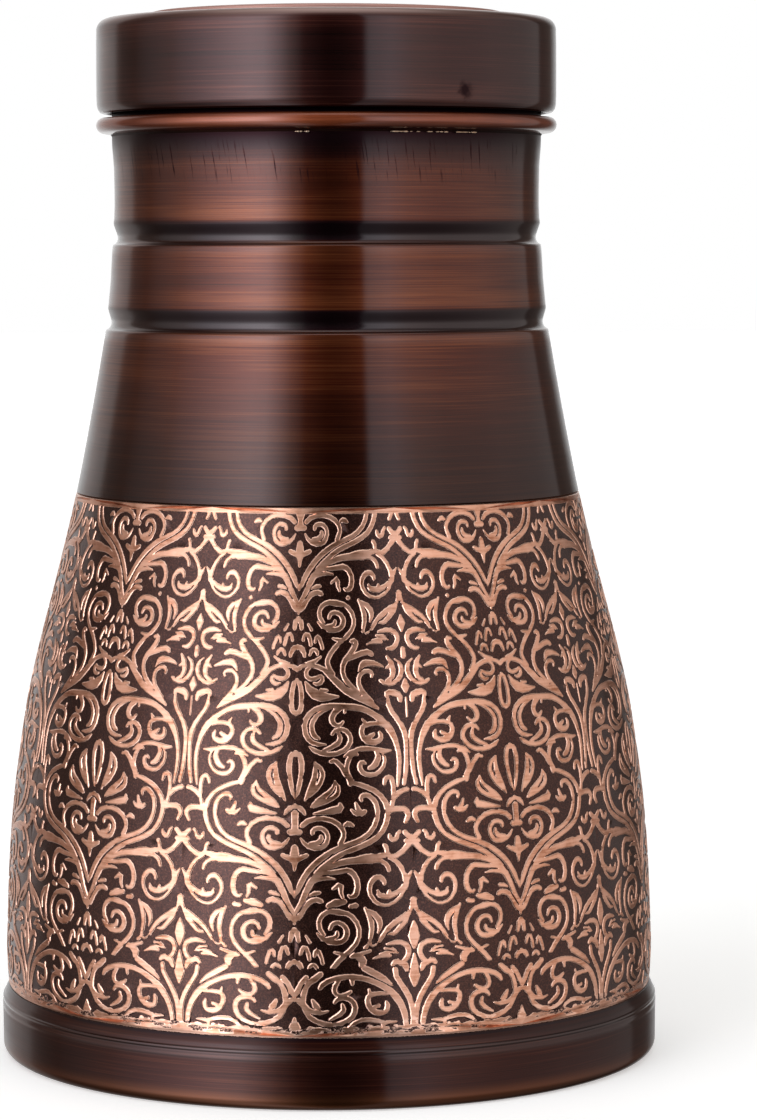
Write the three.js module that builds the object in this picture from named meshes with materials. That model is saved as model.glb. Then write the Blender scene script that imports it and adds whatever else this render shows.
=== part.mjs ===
// Copper water jug with a lift-off lid, millimetres, +Z up.
// Origin: centre of the circle that the jug stands on.
// Every piece is a spun or pressed sheet-metal part, so each one is a closed profile turned about +Z.
import * as THREE from 'three';

// ---- driving dimensions -------------------------------------------------------------------------
const SEGMENTS = 40;          // facets round the axis
const SHEET = 0.9;            // sheet thickness of the body and the lid
const GAP = 0.25;             // brazed joints are kept this far open between two pieces

const FOOT_RADIUS = 63.9;     // outside of the foot ring
const FOOT_HEIGHT = 13.1;
const FOOT_LIP_INNER = 57.5;  // turned-in lip that the jug stands on
const FOOT_LIP_THICK = 1.2;
const FOOT_CORNER = 2.9;      // round between the lip and the upright band

const WALL_BOTTOM = FOOT_LIP_THICK + GAP;
const WALL_TUCK_RADIUS = 62.3;   // wall inside the foot ring
const WALL_TUCK_TOP = FOOT_HEIGHT + 0.2;
const WALL_TOP = 108.9;

const NECK_TUCK_BOTTOM = 103.2;  // neck shell's lower edge, sleeved inside the etched wall
const NECK_TOP = 181.2;

const RING_LOW = 177.6;          // half-round ring on the mouth
const RING_HIGH = 181.4;
const RING_INNER = 41.75;
const RING_OUTER = 44.45;

const LID_RADIUS = 44.35;
const LID_LOW = 181.7;
const LID_HIGH = 200.3;
const LID_FOOT_ROUND = 1.6;      // round on the lid's lower edge
const LID_TOP_ROUND = 3.0;       // round between the lid's side and its top
const LID_HEM_INNER = 42.3;

const DISC_RADIUS = 34.2;        // raised disc on the lid
const DISC_THICK = 1.0;

const COLLAR_RADIUS = 39.4;      // collar that centres the lid in the mouth
const COLLAR_LOW = 164.0;
const COLLAR_FLANGE = 41.6;

// Radius and height of the places where the outer silhouette changes its slope.
const WALL_OUTLINE = [
  [62.75, WALL_TUCK_TOP],
  [63.05, 21.5],
  [62.35, 39.5],
  [60.4, 58.5],
  [57.1, 76.0],
  [53.1, 91.2],
  [50.5, 101.8],
  [48.85, WALL_TOP],
];
const SHOULDER_OUTLINE = [
  [48.6, WALL_TOP + 0.2],
  [45.35, 126.0],
  [42.85, 140.1],
];
const BAND_OUTLINE = [
  [42.33, 144.8],
  [41.47, 156.2],
];
const THROAT_OUTLINE = [
  [41.18, 161.1],
  [41.02, 167.0],
  [41.33, 174.6],
  [41.45, NECK_TOP],
];
const LOWER_GROOVE_DEPTH = 0.85;
const UPPER_GROOVE_DEPTH = 0.87;

// ---- profile helpers ----------------------------------------------------------------------------
const at = (radius, height) => new THREE.Vector2(radius, height);

// Smooth outline through a few [radius, height] points.
function smooth(outline, steps) {
  const curve = new THREE.SplineCurve(outline.map(([radius, height]) => at(radius, height)));
  return curve.getPoints(steps);
}

// Circular arc in the profile plane, angles in degrees from the outward direction.
function arc(radius, height, size, from, to, steps = 4) {
  const points = [];
  for (let i = 0; i <= steps; i += 1) {
    const angle = THREE.MathUtils.degToRad(from + ((to - from) * i) / steps);
    points.push(at(radius + size * Math.cos(angle), height + size * Math.sin(angle)));
  }
  return points;
}

// Rolled groove between two outline points: a shallow sine dip.
function groove([lowRadius, low], [highRadius, high], depth, steps = 4) {
  const points = [];
  for (let i = 1; i < steps; i += 1) {
    const along = i / steps;
    const radius = THREE.MathUtils.lerp(lowRadius, highRadius, along);
    const dip = depth * Math.sin(Math.PI * along);
    points.push(at(radius - dip, THREE.MathUtils.lerp(low, high, along)));
  }
  return points;
}

// Sheet-metal shell: the outer outline, then the same outline one sheet further in.
function shell(outer) {
  const inner = outer.map((point) => at(point.x - SHEET, point.y));
  return [...outer, ...inner.reverse()];
}

// A piece turned about +Z from a profile that runs up its outside.
function turned(name, profile, look) {
  const closed = profile[0].x > 0 ? [...profile, profile[0].clone()] : profile;
  const geometry = new THREE.LatheGeometry(closed, SEGMENTS);
  geometry.rotateX(Math.PI / 2);
  const piece = new THREE.Mesh(geometry, new THREE.MeshStandardMaterial(look));
  piece.name = name;
  return piece;
}

// ---- finishes -----------------------------------------------------------------------------------
const DARK_COPPER = { color: 0x4a2a24, roughness: 0.28, metalness: 1 };
const ETCHED_COPPER = { color: 0x8a5a48, roughness: 0.42, metalness: 1 };
const BRIGHT_COPPER = { color: 0xb87a5c, roughness: 0.3, metalness: 1 };
const RAW_COPPER = { color: 0xa86a50, roughness: 0.4, metalness: 1 };
const BRAZE = { color: 0xb08a50, roughness: 0.5, metalness: 1 };

// ---- pieces of the jug --------------------------------------------------------------------------
function footRing() {
  const inner = WALL_TUCK_RADIUS + GAP;
  const corner = arc(FOOT_RADIUS - FOOT_CORNER, FOOT_CORNER, FOOT_CORNER, -90, 0);
  const profile = [
    at(FOOT_LIP_INNER, 0),
    ...corner,
    at(FOOT_RADIUS, 10),
    at(FOOT_RADIUS - 0.3, 11.3),
    at(inner + 0.45, FOOT_HEIGHT - 0.2),
    at(inner, FOOT_HEIGHT),
    at(inner, FOOT_LIP_THICK),
    at(FOOT_LIP_INNER, FOOT_LIP_THICK),
  ];
  return turned('foot_ring', profile, DARK_COPPER);
}

function bottomPlate() {
  const radius = WALL_TUCK_RADIUS - SHEET - GAP;
  const crown = 1.2;
  const profile = [
    at(0, WALL_BOTTOM + crown),
    at(radius * 0.6, WALL_BOTTOM + crown * 0.7),
    at(radius * 0.92, WALL_BOTTOM),
    at(radius, WALL_BOTTOM),
    at(radius, WALL_BOTTOM + SHEET),
    at(radius * 0.92, WALL_BOTTOM + SHEET),
    at(radius * 0.6, WALL_BOTTOM + SHEET + crown * 0.7),
    at(0, WALL_BOTTOM + SHEET + crown),
  ];
  return turned('bottom_plate', profile, RAW_COPPER);
}

function etchedWall() {
  const tuck = [at(WALL_TUCK_RADIUS, WALL_BOTTOM), at(WALL_TUCK_RADIUS, FOOT_HEIGHT)];
  return turned('etched_wall', shell([...tuck, ...smooth(WALL_OUTLINE, 12)]), ETCHED_COPPER);
}

function neckShell() {
  const tuck = [
    at(49.0, NECK_TUCK_BOTTOM),
    at(47.7, WALL_TOP - 0.3),
    at(47.9, WALL_TOP + GAP),
  ];
  const shoulder = smooth(SHOULDER_OUTLINE, 4).slice(1);
  const lowerGroove = groove(SHOULDER_OUTLINE.at(-1), BAND_OUTLINE[0], LOWER_GROOVE_DEPTH);
  const band = BAND_OUTLINE.map(([radius, height]) => at(radius, height));
  const upperGroove = groove(BAND_OUTLINE[1], THROAT_OUTLINE[0], UPPER_GROOVE_DEPTH);
  const throat = smooth(THROAT_OUTLINE, 4);
  const start = at(SHOULDER_OUTLINE[0][0], WALL_TOP + GAP + 0.1);
  const outer = [...tuck, start, ...shoulder, ...lowerGroove, ...band, ...upperGroove, ...throat];
  return turned('neck_shell', shell(outer), DARK_COPPER);
}

function rimRing() {
  const size = (RING_HIGH - RING_LOW) / 2;
  const middle = (RING_HIGH + RING_LOW) / 2;
  const profile = [
    at(RING_INNER, RING_LOW),
    ...arc(RING_OUTER - size, middle, size, -90, 90, 8),
    at(RING_INNER, RING_HIGH),
  ];
  return turned('rim_ring', profile, BRIGHT_COPPER);
}

function rimBraze() {
  const inner = 41.65;
  const top = RING_LOW - 0.2;
  const leg = 0.9;
  const profile = [at(inner, top - leg), at(inner + leg, top), at(inner, top)];
  return turned('rim_braze', profile, BRAZE);
}

// ---- pieces of the lid --------------------------------------------------------------------------
function lidCap() {
  const side = LID_RADIUS - SHEET;
  const foot = arc(LID_RADIUS - LID_FOOT_ROUND, LID_LOW + LID_FOOT_ROUND, LID_FOOT_ROUND, -90, 0);
  const shoulder = arc(LID_RADIUS - LID_TOP_ROUND, LID_HIGH - LID_TOP_ROUND, LID_TOP_ROUND, 0, 90);
  const profile = [
    at(LID_HEM_INNER, LID_LOW),
    ...foot,
    ...shoulder,
    at(0, LID_HIGH),
    at(0, LID_HIGH - SHEET),
    at(side - 2, LID_HIGH - SHEET),
    at(side - 0.3, LID_HIGH - SHEET - 1.8),
    at(side, LID_HIGH - LID_TOP_ROUND - SHEET),
    at(side, LID_LOW + 2.4),
    at(LID_HEM_INNER, LID_LOW + 2.0),
  ];
  // The cap's profile meets the axis in its middle, so it is turned starting from there.
  const start = profile.findIndex((point) => point.x === 0) + 1;
  const order = [...profile.slice(start), ...profile.slice(0, start)];
  return turned('lid_cap', order, DARK_COPPER);
}

function lidDisc() {
  const base = LID_HIGH + GAP;
  const top = LID_HIGH + DISC_THICK;
  const profile = [
    at(0, base),
    at(DISC_RADIUS, base),
    at(DISC_RADIUS, top - 0.4),
    at(DISC_RADIUS - 0.5, top),
    at(0, top),
  ];
  return turned('lid_disc', profile, BRIGHT_COPPER);
}

function lidCollar() {
  const inner = COLLAR_RADIUS - SHEET;
  const top = LID_HIGH - SHEET - GAP;
  const profile = [
    at(COLLAR_RADIUS - 0.6, COLLAR_LOW),
    at(COLLAR_RADIUS, COLLAR_LOW + 1.2),
    at(COLLAR_RADIUS, top - SHEET),
    at(COLLAR_FLANGE, top - SHEET),
    at(COLLAR_FLANGE, top),
    at(inner, top),
    at(inner, COLLAR_LOW + 1.2),
    at(inner - 0.6, COLLAR_LOW),
  ];
  return turned('lid_collar', profile, RAW_COPPER);
}

// ---- assembly -----------------------------------------------------------------------------------
const jug = new THREE.Group();
jug.name = 'jug';
jug.add(footRing(), bottomPlate(), etchedWall(), neckShell(), rimRing(), rimBraze());

const lid = new THREE.Group();
lid.name = 'lid';
lid.add(lidCap(), lidDisc(), lidCollar());

const waterJug = new THREE.Group();
waterJug.name = 'copper_water_jug';
waterJug.add(jug, lid);

export default waterJug;
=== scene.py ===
"""The copper water jug, dressed for rendering round its CAD frame.

Lengths are in millimetres here, and MM turns them into metres where a mesh is made.
"""
import math
import random
import bmesh
import bpy
from mathutils import Matrix, Vector
from mathutils.geometry import delaunay_2d_cdt


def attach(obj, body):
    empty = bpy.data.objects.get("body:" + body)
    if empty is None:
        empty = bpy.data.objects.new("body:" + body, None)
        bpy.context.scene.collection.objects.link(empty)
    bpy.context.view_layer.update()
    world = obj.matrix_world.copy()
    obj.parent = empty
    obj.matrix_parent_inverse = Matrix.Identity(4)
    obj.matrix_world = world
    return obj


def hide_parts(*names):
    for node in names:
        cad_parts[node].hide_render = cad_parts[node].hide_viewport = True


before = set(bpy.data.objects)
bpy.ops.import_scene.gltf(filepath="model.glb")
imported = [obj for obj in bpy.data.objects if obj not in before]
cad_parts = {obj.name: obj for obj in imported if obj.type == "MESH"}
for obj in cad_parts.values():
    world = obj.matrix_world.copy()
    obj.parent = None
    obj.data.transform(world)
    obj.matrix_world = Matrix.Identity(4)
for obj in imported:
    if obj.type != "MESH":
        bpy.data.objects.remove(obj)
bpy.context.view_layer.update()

MM = 0.001
SHEET = 0.9              # thickness of the beaten sheet
AROUND = 288             # steps of a turned piece
TILE_STEPS = 8           # rim steps of one half repeat of the etched pattern


# ---------------------------------------------------------------- driving dimensions

# (height, radius) up the outside of each part
FOOT_SIDE = [(2.05, 63.88), (6.0, 63.9), (9.0, 63.93), (9.5, 63.98), (9.9, 63.93), (10.2, 63.8),
             (10.45, 63.8), (10.6, 63.88), (10.9, 63.9), (11.02, 63.83), (11.14, 63.66), (11.4, 63.54),
             (11.9, 63.38), (12.5, 63.1), (13.2, 62.76)]
WALL_SIDE = [(13.2, 62.7), (15.5, 62.88), (20.8, 63.07), (26.0, 62.9), (32.6, 62.66), (39.7, 62.3),
             (46.7, 61.74), (53.8, 60.95), (60.8, 59.95), (67.9, 58.84), (74.9, 57.36), (81.9, 55.65),
             (88.9, 53.78), (95.9, 51.95), (102.9, 50.2), (107.6, 49.1), (108.6, 48.86)]
SHOULDER_SIDE = [(109.05, 48.74), (109.6, 48.64), (112.2, 48.07), (121.5, 46.25), (130.8, 44.53),
                 (139.3, 43.04)]
FOOT_TOP = 13.25
WALL_BOTTOM = 1.5
WALL_TUCK = 62.3
WALL_TOP = 108.85
PATTERN = (WALL_SIDE[0][0], WALL_TOP - 0.1)     # the heights that the patterned outside spans
LOWER_GROOVE = 142.4
UPPER_GROOVE = 158.8
RING_HEIGHT = 179.6

# the etched pattern: mirror-symmetric repeats, their first axis, and how deep the acid went
REPEATS = 9
FIRST_AXIS = -5.8
HALF = 180.0 / REPEATS
ETCH_DEPTH = 0.18
EDGE_IN = 0.12           # the flat top stops this far inside a stroke's drawn edge
EDGE_OUT = 0.15          # the bitten edge meets the ground this far outside it
TOP_BORDER = (107.7, 108.75)
BOTTOM_BORDER = 15.2
TIP = ((0.75, 0.66), (1.0, 0.0), (0.75, -0.66))    # a stroke's round tip: (ahead, aside) and its
TIP_SIZE = 0.8                                     # size, both as shares of half the width there
WALK_STEP = 0.16         # a drawn stroke is walked in these steps
LONG_STEP = 1.3          # and keeps a point this far from the last one where it is straight,
SHORT_STEP = 0.3         # or this far where it has turned by
TURN_KEPT = 19           # these degrees
FILL_ROWS = 27           # extra points that keep the triangles of the ground small
FILL_FIRST = 3.0
FILL_STEP = 3.4
INSIDE_STEPS = 24        # steps down the plain inside of the wall
ON_EDGE = 1e-4           # a point this near an edge of the half repeat lies on it

# braze that spilled under the ring: (degrees round from the front, half-width in degrees)
SPILLS = ((-6.0, 1.6), (20.5, 3.6), (29.0, 3.0), (38.0, 3.0), (140.0, 3.5), (205.0, 3.0))
BEADS = 5
BEAD_RINGS = 5
BEAD_SIDES = 10
BEAD_RADIUS = 42.1
BEAD_HEIGHT = 177.3


# ---------------------------------------------------------------- small geometry helpers


def spline(points, step):
    """A smooth curve through points of any width, walked in steps no longer than step."""
    first = [2 * a - b for a, b in zip(points[0], points[1])]
    last = [2 * a - b for a, b in zip(points[-1], points[-2])]
    padded = [first, *points, last]
    walked = []
    for i in range(1, len(padded) - 2):
        a, b, c, d = padded[i - 1:i + 3]
        count = max(1, round(math.hypot(c[0] - b[0], c[1] - b[1]) / step))
        for k in range(count):
            t = k / count
            walked.append(tuple(
                0.5 * (2 * q + (r - p) * t + (2 * p - 5 * q + 4 * r - s) * t * t
                       + (3 * q - p - 3 * r + s) * t ** 3)
                for p, q, r, s in zip(a, b, c, d)))
    walked.append(tuple(points[-1]))
    return walked


def along(points, x):
    """The second number of a smooth curve of (x, y) points, at x."""
    for i in range(len(points) - 1):
        if x <= points[i + 1][0] or i == len(points) - 2:
            break
    x0, y0 = points[i]
    x1, y1 = points[i + 1]
    xa, ya = points[max(i - 1, 0)]
    xb, yb = points[min(i + 2, len(points) - 1)]
    span = x1 - x0
    m0 = (y1 - ya) / (x1 - xa) * span
    m1 = (yb - y0) / (xb - x0) * span
    t = (x - x0) / span
    return (y0 * (2 * t ** 3 - 3 * t * t + 1) + m0 * (t ** 3 - 2 * t * t + t)
            + y1 * (3 * t * t - 2 * t ** 3) + m1 * (t ** 3 - t * t))


def arc(radius, height, size, start, end, count=6):
    """Points of a round corner about (radius, height), angles in degrees from outward to up."""
    corner = []
    for k in range(count + 1):
        a = math.radians(start + (end - start) * k / count)
        corner.append((radius + size * math.cos(a), height + size * math.sin(a)))
    return corner


def sides_of(side, step=1.2):
    """A (height, radius) side as smooth (radius, height) points from the bottom up."""
    low, high = side[0][0], side[-1][0]
    count = max(1, round((high - low) / step))
    return [(along(side, low + (high - low) * k / count), low + (high - low) * k / count)
            for k in range(count + 1)]


def finish_mesh(name, points, faces, materials, body, nodes, slot_name, indices=None, sharp=32):
    """Makes the mesh object from points in millimetres, ties it to its body and hides the CAD nodes it
    stands for.
    """
    mesh = bpy.data.meshes.new(name)
    mesh.from_pydata([(x * MM, y * MM, z * MM) for x, y, z in points], [], faces)
    for material in materials:
        mesh.materials.append(material)
    if indices:
        mesh.polygons.foreach_set("material_index", indices)
    work = bmesh.new()
    work.from_mesh(mesh)
    bmesh.ops.recalc_face_normals(work, faces=work.faces)
    work.to_mesh(mesh)
    work.free()
    mesh.polygons.foreach_set("use_smooth", [True] * len(mesh.polygons))
    mesh.set_sharp_from_angle(angle=math.radians(sharp))
    piece = bpy.data.objects.new(name, mesh)
    bpy.context.scene.collection.objects.link(piece)
    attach(piece, body)
    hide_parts(*nodes)
    return piece


def turned(name, outline, material, body, nodes, slot_name, steps=AROUND, sharp=32):
    """A piece spun from a closed outline of (radius, height); radius 0 closes it on the axis."""
    points, rings, faces = [], [], []
    for radius, height in outline:
        if radius < 1e-6:
            rings.append([len(points)])
            points.append((0.0, 0.0, height))
            continue
        rings.append(list(range(len(points), len(points) + steps)))
        for k in range(steps):
            a = 2 * math.pi * k / steps
            points.append((radius * math.cos(a), radius * math.sin(a), height))
    on_axis = [len(ring) == 1 for ring in rings]
    for i, ring in enumerate(rings):
        following = rings[(i + 1) % len(rings)]
        if on_axis[i] and on_axis[(i + 1) % len(rings)]:
            continue
        for k in range(steps):
            n = (k + 1) % steps
            if on_axis[i]:
                faces.append((ring[0], following[k], following[n]))
            elif on_axis[(i + 1) % len(rings)]:
                faces.append((ring[k], ring[n], following[0]))
            else:
                faces.append((ring[k], ring[n], following[n], following[k]))
    return finish_mesh(name, points, faces, [material], body, nodes, slot_name, sharp=sharp)


# ---------------------------------------------------------------- the etched pattern, drawn
# Strokes of one half repeat, each a list of (degrees from its axis, height, width in mm).

# the tall motif of the upper row; parts of it come again lower down
UPPER_STROKES = {
    "heart": [
     [(11.4, 110.2, 0.4), (11.3, 110.8, 0.7), (11.9, 111.2, 0.8), (12.8, 111, 0.8), (13.7, 110.1, 0.8),
      (14.1, 108.9, 0.8), (14, 107.4, 0.75), (13.5, 106, 0.8), (12.5, 104.7, 0.8), (11.1, 103.7, 0.8),
      (9.5, 103, 0.85), (7.9, 102.4, 0.95), (6.2, 101.5, 0.95), (4.6, 100.4, 0.95), (3.1, 99, 0.95),
      (1.9, 97.5, 0.9), (1, 96, 0.9), (0.4, 94.8, 0.8), (0, 93.9, 0.3)],
     [(9.6, 113.4, 0.8), (11, 113, 0.8), (12.6, 112.4, 0.85), (14.1, 111.6, 0.8), (15.3, 110.3, 0.85),
      (15.9, 108.7, 1), (15.8, 107.3, 0.9), (15.3, 105.9, 0.85), (14.4, 104.5, 0.85), (13, 103.4, 0.9),
      (11.2, 102.5, 0.9), (9.2, 101.7, 0.9), (7.4, 100.8, 0.9), (5.8, 99.6, 0.9), (4.3, 98.2, 1),
      (3, 96.6, 1.1), (2, 94.9, 1), (1.3, 93.3, 0.85), (0.6, 92.1, 0.8), (0, 91.2, 0.7)],
     [(15.6, 100.8, 0.7), (14.6, 100.6, 1), (13.2, 100.2, 1.8), (11.8, 100.15, 1.6), (10.2, 99.9, 1.2),
      (8.4, 99.7, 1.1), (6.8, 99.2, 1), (5.4, 98.5, 0.9), (4.2, 97.6, 0.8)],
     [(13.4, 99.9, 0.8), (14.6, 99.7, 0.7), (15.4, 99.1, 0.7), (15.8, 98.4, 0.7), (15.9, 97.9, 0.6)],
     [(15.7, 100.9, 0.7), (15.6, 101.8, 0.65), (15.3, 102.5, 0.7), (15.15, 102.65, 0.6)],
     [(14.6, 100.9, 0.8), (15.8, 100.8, 0.8), (16.9, 100.5, 0.9), (18, 101.1, 0.9), (18.9, 102, 0.9),
      (19.6, 103, 1), (20, 103.3, 1)],
    ],
    "crossing": [
     [(18.7, 104.9, 0.8), (19.3, 104.3, 1), (20, 103.6, 1.3)],
     [(18.9, 103.2, 0.9), (20, 103.2, 1.3)],
     [(16.1, 104.5, 0.5), (16.2, 103.9, 0.7), (16.8, 103.5, 0.9), (17.3, 103.9, 0.7),
      (17.5, 104.6, 0.6), (17.9, 105.05, 0.5)],
     [(16.5, 108.9, 0.7), (16.8, 110, 0.7), (17, 111.4, 0.75), (17, 112.8, 0.75), (16.7, 113.8, 0.8),
      (16.1, 114.1, 0.8), (15.6, 113.7, 0.7), (15.4, 112.9, 0.5)],
     [(16.9, 110.4, 0.6), (17.7, 111.3, 0.9), (18.6, 111.8, 0.8), (19.5, 112, 0.8)],
     [(15.9, 108.4, 0.8), (16.9, 108.7, 0.9), (17.9, 108.8, 1), (18.9, 108.6, 1), (19.4, 107.9, 0.9),
      (19.3, 107.2, 0.7), (18.9, 106.5, 0.6)],
    ],
    "base_scrolls": [
     [(1.2, 106.1, 0.8), (2.3, 107, 0.85), (4.2, 107.4, 0.85), (6.1, 107.1, 0.85), (7.5, 106.3, 0.85),
      (8.2, 105.3, 0.8), (8.3, 104.4, 0.75), (8, 103.6, 0.8), (7.7, 102.9, 0.9)],
     [(8.4, 106.2, 0.5), (9.1, 106.5, 0.9), (9.9, 106.1, 0.5)],
     [(3, 104.8, 0.6), (3.1, 105.4, 0.7), (3.8, 105.75, 0.75), (4.7, 105.65, 0.75), (5.4, 105, 0.7),
      (5.6, 104.1, 0.7), (5.3, 103.1, 0.8), (4.6, 102.4, 0.9), (3.5, 102.2, 0.9), (2.4, 102.5, 0.8),
      (1.6, 103.1, 0.6), (1, 104, 0.2)],
     [(2.6, 102.9, 0.8), (3.6, 103, 1), (4.2, 103.4, 0.9), (4.5, 104, 0.7), (4.45, 104.4, 0.6)],
     [(0, 108.3, 1.2), (0, 107.7, 1.9), (0, 106.9, 0.9), (0, 106.1, 0.9), (0, 105.6, 1.2)],
     [(0, 105.1, 1), (0.9, 105.1, 1)],
     [(0, 102.4, 1), (0, 101.4, 1.5), (0, 100.4, 1.3), (0, 99.4, 1.1), (0, 98.1, 0.3)],
     [(0.2, 99.9, 1), (1.2, 100.5, 0.9), (2.1, 100.9, 0.7)],
    ],
    "inward_scroll": [
     [(15.9, 100.4, 0.6), (17, 99.7, 0.7), (17.9, 98.6, 0.75), (18.5, 97.4, 0.8), (18.75, 96.2, 1),
      (18.4, 94.9, 0.8), (17.6, 93.7, 0.55), (16.4, 92.8, 0.5), (15.1, 92.5, 0.5), (13.8, 92.9, 0.6),
      (12.9, 93.8, 0.65), (12.5, 94.9, 0.65), (12.7, 96, 0.8), (13.5, 96.85, 0.9), (14.4, 96.9, 0.9),
      (15, 96.3, 0.7), (15.05, 95.8, 0.5)],
     [(18.8, 95.4, 0.9), (18.95, 96.5, 0.9), (19.35, 97.2, 0.8), (19.85, 97.75, 0.3)],
     [(13.9, 94.9, 0.3), (14.2, 94.2, 0.9), (15.4, 93.9, 1), (16.7, 94.2, 0.9), (17.8, 94.9, 0.7),
      (18.4, 95.7, 0.5)],
     [(15.8, 94.2, 0.9), (15.9, 94.85, 0.4)],
    ],
    "leaf_curl": [
     [(3.4, 97.2, 0.7), (5, 97.65, 0.7), (7, 97.85, 0.8), (8.8, 98.1, 1), (9.9, 97.5, 0.95),
      (10.5, 96.3, 0.9), (10.5, 95.1, 0.9), (10.1, 94.2, 0.9), (9.3, 93.95, 0.6), (9, 94.2, 0.4)],
     [(2.2, 95.6, 0.8), (3.3, 96.6, 0.9), (4.8, 96.95, 0.8), (6, 96.9, 0.5), (6.8, 96.75, 0.15)],
     [(6.4, 95.2, 0.4), (7, 95.6, 0.7), (7.7, 95.9, 0.9), (7.7, 95.1, 0.7), (7.8, 94.4, 0.6),
      (8.1, 93.8, 0.4)],
     [(9.6, 92.5, 0.7), (9.85, 92.55, 0.7)],
     [(0, 90.5, 1.3), (0.7, 90.8, 1), (1.3, 91.6, 0.8), (1.9, 92.6, 0.8), (2.7, 93.3, 0.9),
      (3.7, 93.55, 0.9), (4.5, 93.25, 0.8)],
     [(2.5, 94.2, 0.3), (3.2, 94.5, 0.7), (4.2, 94.65, 0.6)],
     [(0, 90.7, 1.2), (0, 89.7, 0.4)],
    ],
    "side_scroll": [
     [(4.9, 88, 0.6), (4.2, 89, 0.8), (4.1, 90.2, 0.75), (4.7, 91.2, 0.8), (5.9, 91.75, 0.85),
      (7.4, 91.6, 1.1), (8.9, 91.3, 0.8), (10.1, 90.3, 0.8), (10.7, 89, 0.7), (10.7, 87.7, 0.7),
      (10.1, 86.5, 0.75), (9, 85.4, 0.8), (7.8, 84.4, 0.9), (6.8, 83.4, 0.8), (6, 82.3, 0.8),
      (5.6, 81.2, 0.8), (5.9, 80, 0.9), (6.6, 78.9, 0.9)],
     [(8.4, 84.9, 0.8), (7.4, 85.1, 0.6), (6.6, 85.3, 0.3)],
     [(5.9, 88.9, 0.5), (6.3, 89.7, 0.7), (7.2, 89.95, 0.75), (8.2, 89.5, 0.8), (8.7, 88.6, 0.9),
      (8.5, 87.6, 0.9), (7.7, 86.95, 0.9), (6.4, 86.85, 1), (5.2, 87.2, 1), (4.4, 87.75, 0.7),
      (3.75, 88.3, 0.2)],
     [(5.2, 87.3, 0.8), (6.3, 87.5, 0.8), (7, 87.9, 0.7), (7.1, 88.5, 0.5)],
    ],
    "pinecone": [
     [(0, 88.8, 1.1), (0.5, 88.2, 0.9), (0.7, 87, 0.6)],
     [(1.9, 87.9, 0.3), (2.2, 87.3, 0.6), (2.6, 86.8, 0.5)],
     [(1, 84.95, 0.5), (1.3, 85.8, 0.65), (1.8, 86.1, 0.75), (2.3, 85.2, 0.65), (2.5, 84.1, 0.55)],
     [(3.3, 84.6, 0.4), (3.5, 85.4, 0.65), (3.9, 85.6, 0.7), (4.4, 84.7, 0.6), (4.7, 83.5, 0.55)],
     [(0, 83.8, 1), (0.75, 83.5, 0.9), (1.2, 82.8, 0.7), (1.35, 82.1, 0.5)],
     [(2.3, 82.3, 0.4), (2.6, 83.1, 0.6), (3.2, 83.35, 0.6), (3.7, 82.9, 0.6), (3.8, 82.4, 0.4)],
    ],
    "bow": [
     [(4.4, 82.1, 0.3), (3.5, 81.4, 0.6), (2.3, 80.95, 0.7), (1.1, 80.5, 0.7), (0, 79.75, 0.9)],
     [(1, 80.5, 0.7), (2.4, 80.6, 0.8), (3.9, 80.3, 0.8), (5.1, 79.7, 0.8), (6.2, 78.6, 1),
      (7.5, 77.4, 1.2), (9, 76.1, 1.3), (10.5, 75.1, 1.1), (11.8, 74.5, 1.1), (13.2, 73.8, 1),
      (14.7, 72.7, 0.5)],
     [(2.4, 80.3, 0.6), (1.75, 79.6, 0.65), (1.75, 78.7, 0.7), (2.4, 78.15, 0.7), (3.3, 78.2, 0.7),
      (4.1, 78.6, 0.6)],
     [(4.2, 78.8, 0.5), (4.7, 78.2, 0.7), (4.4, 77.5, 0.7), (3.7, 77.2, 0.6), (3.1, 77.4, 0.3)],
     [(0, 77.9, 0.8), (0.55, 77.3, 0.75), (0.85, 75.7, 0.75), (0.95, 74, 0.8), (0.75, 72.6, 0.8),
      (0, 71.9, 0.8)],
     [(1.6, 77.6, 0.3), (2.2, 76.4, 1.2), (3.4, 75.4, 1.9), (4.8, 75, 1.8), (6.2, 74.9, 1),
      (7.6, 75, 0.3)],
     [(4.4, 76.1, 0.7), (5.6, 76.1, 0.4)],
    ],
    "stems": [
     [(10.1, 84.8, 0.6), (10.8, 84.85, 0.9), (10.9, 84.1, 1), (10.2, 82.9, 0.9), (9.3, 81.9, 1),
      (8.6, 80.8, 0.9), (8.4, 79.7, 0.8), (8.6, 78.6, 0.8), (9.3, 77.4, 0.9), (10.3, 76.4, 0.8),
      (11.5, 75.5, 0.6)],
     [(9.3, 81.6, 0.7), (10.5, 82.1, 0.9), (11.8, 82.6, 0.95), (13.1, 82.85, 1), (14, 82.4, 0.8)],
     [(11.4, 79.4, 0.2), (11.8, 80.2, 0.8), (12.5, 80.85, 1.2), (13.7, 80.9, 1), (14.9, 80.65, 0.8),
      (16, 80.15, 0.3)],
     [(13.75, 78.4, 0.4), (13.9, 79, 0.6), (13.2, 79.45, 0.7), (12.2, 79.3, 0.7), (11.5, 78.6, 0.7),
      (11.3, 77.5, 0.7), (11.6, 76.4, 0.8), (12.3, 75.3, 0.9), (13.4, 74.1, 1), (14.8, 72.7, 0.4)],
    ],
    "crescents": [
     [(18.3, 81.5, 0.2), (19.2, 80.6, 0.7), (19.45, 79.4, 0.8), (19, 78.2, 0.8), (18.1, 77.4, 0.8),
      (17, 77.1, 0.8), (15.9, 77.4, 0.7), (15.3, 77.8, 0.4)],
     [(16.8, 82, 0.4), (17.4, 81, 1), (17.75, 79.9, 1), (17.8, 79, 0.9), (17.4, 78.1, 0.8),
      (16.5, 77.6, 0.6)],
     [(17.3, 80.3, 0.8), (16.6, 79.9, 0.3)],
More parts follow.
